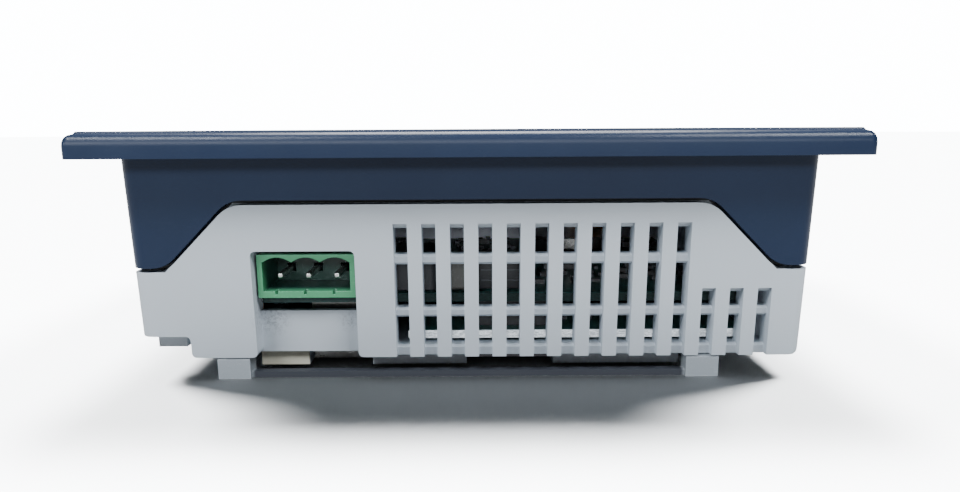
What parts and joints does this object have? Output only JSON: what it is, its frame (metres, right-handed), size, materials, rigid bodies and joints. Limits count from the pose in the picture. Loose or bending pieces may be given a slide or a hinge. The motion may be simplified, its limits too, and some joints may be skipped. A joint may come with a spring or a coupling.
{
  "type": "hmi touch panel",
  "caption": "Panel-mount touch screen operator terminal: flanged frame, vented rear cover, recessed power header, data ports, set switches and feet.",
  "frame": {"origin": "centre of the footprint, on the plane the rear feet stand on", "axes": "+X along the width, +Y from the lower edge to the upper edge, +Z out of the display"},
  "size_m": [0.13, 0.104, 0.044],
  "materials": {
    "frame_navy": "satin moulded navy",
    "cover_grey": "fine matt moulded light grey",
    "foot_grey": "matt mid grey",
    "foam": "closed-cell foam",
    "label_paper": "blank laminated label",
    "overlay_film": "fine matt printed film",
    "touch_glass": "smooth dark glass",
    "flex_amber": "amber polyimide film",
    "sheet_steel": "zinc plated sheet",
    "lcd_glass": "dark polariser",
    "board_green": "solder mask over glass fibre laminate",
    "screw_steel": "zinc plated",
    "brass": "turned",
    "chip_black": "moulded epoxy",
    "capacitor_beige": "dipped resin",
    "capacitor_can": "sleeved can",
    "black_plastic": "moulded nylon",
    "tin": "tinned",
    "header_green": "moulded nylon",
    "white_plastic": "moulded"
  },
  "bodies": {
    "housing": {"front_frame": "frame_navy", "rear_cover": "cover_grey", "rear_foot_frame": "foot_grey", "flange_gasket": "foam", "touch_gasket": "foam", "rating_label": "label_paper", "front_overlay": "overlay_film", "touch_panel_glass": "touch_glass", "touch_tail": "flex_amber", "lcd_flex": "flex_amber", "lcd_frame": "sheet_steel", "lcd_bracket": "sheet_steel", "reset_switch_body": "sheet_steel", "lcd_glass": "lcd_glass", "main_board": "board_green", "io_board": "board_green", "cover_screw_1": "screw_steel", "cover_screw_2": "screw_steel", "cover_screw_3": "screw_steel", "cover_screw_4": "screw_steel", "bracket_screw_1": "screw_steel", "bracket_screw_2": "screw_steel", "bracket_screw_3": "screw_steel", "bracket_screw_4": "screw_steel", "board_screw_1": "screw_steel", "board_screw_2": "screw_steel", "board_screw_3": "screw_steel", "board_screw_4": "screw_steel", "board_pillar_1": "brass", "board_pillar_2": "brass", "board_pillar_3": "brass", "board_pillar_4": "brass", "serial_jackscrew_1": "brass", "serial_jackscrew_2": "brass", "processor_chip": "chip_black", "memory_chip": "chip_black", "power_inductor": "chip_black", "film_capacitor": "capacitor_beige", "bulk_capacitor": "capacitor_can", "link_header": "black_plastic", "cell_holder": "black_plastic", "ethernet_jack": "black_plastic", "dip_switch_body": "black_plastic", "coin_cell": "tin", "header_pin_1": "tin", "header_pin_2": "tin", "header_pin_3": "tin", "usb_port": "tin", "serial_port": "tin", "power_header": "header_green"},
    "dip_slider_1": {"dip_slider_1": "white_plastic"},
    "dip_slider_2": {"dip_slider_2": "white_plastic"},
    "dip_slider_3": {"dip_slider_3": "white_plastic"},
    "dip_slider_4": {"dip_slider_4": "white_plastic"},
    "reset_button": {"reset_button": "black_plastic"}
  },
  "joints": [
    {"name": "dip_slider_1_slide", "type": "slide", "parent": "housing", "child": "dip_slider_1", "axis": [0, 1, 0], "range_m": [0, 0.002]},
    {"name": "dip_slider_2_slide", "type": "slide", "parent": "housing", "child": "dip_slider_2", "axis": [0, 1, 0], "range_m": [0, 0.002]},
    {"name": "dip_slider_3_slide", "type": "slide", "parent": "housing", "child": "dip_slider_3", "axis": [0, 1, 0], "range_m": [0, 0.002]},
    {"name": "dip_slider_4_slide", "type": "slide", "parent": "housing", "child": "dip_slider_4", "axis": [0, 1, 0], "range_m": [0, 0.002]},
    {"name": "reset_press", "type": "slide", "parent": "housing", "child": "reset_button", "axis": [0, 0, 1], "range_m": [0, 0.0005], "stiffness_N_per_m": 3000, "springref_m": -0.0003}
  ]
}
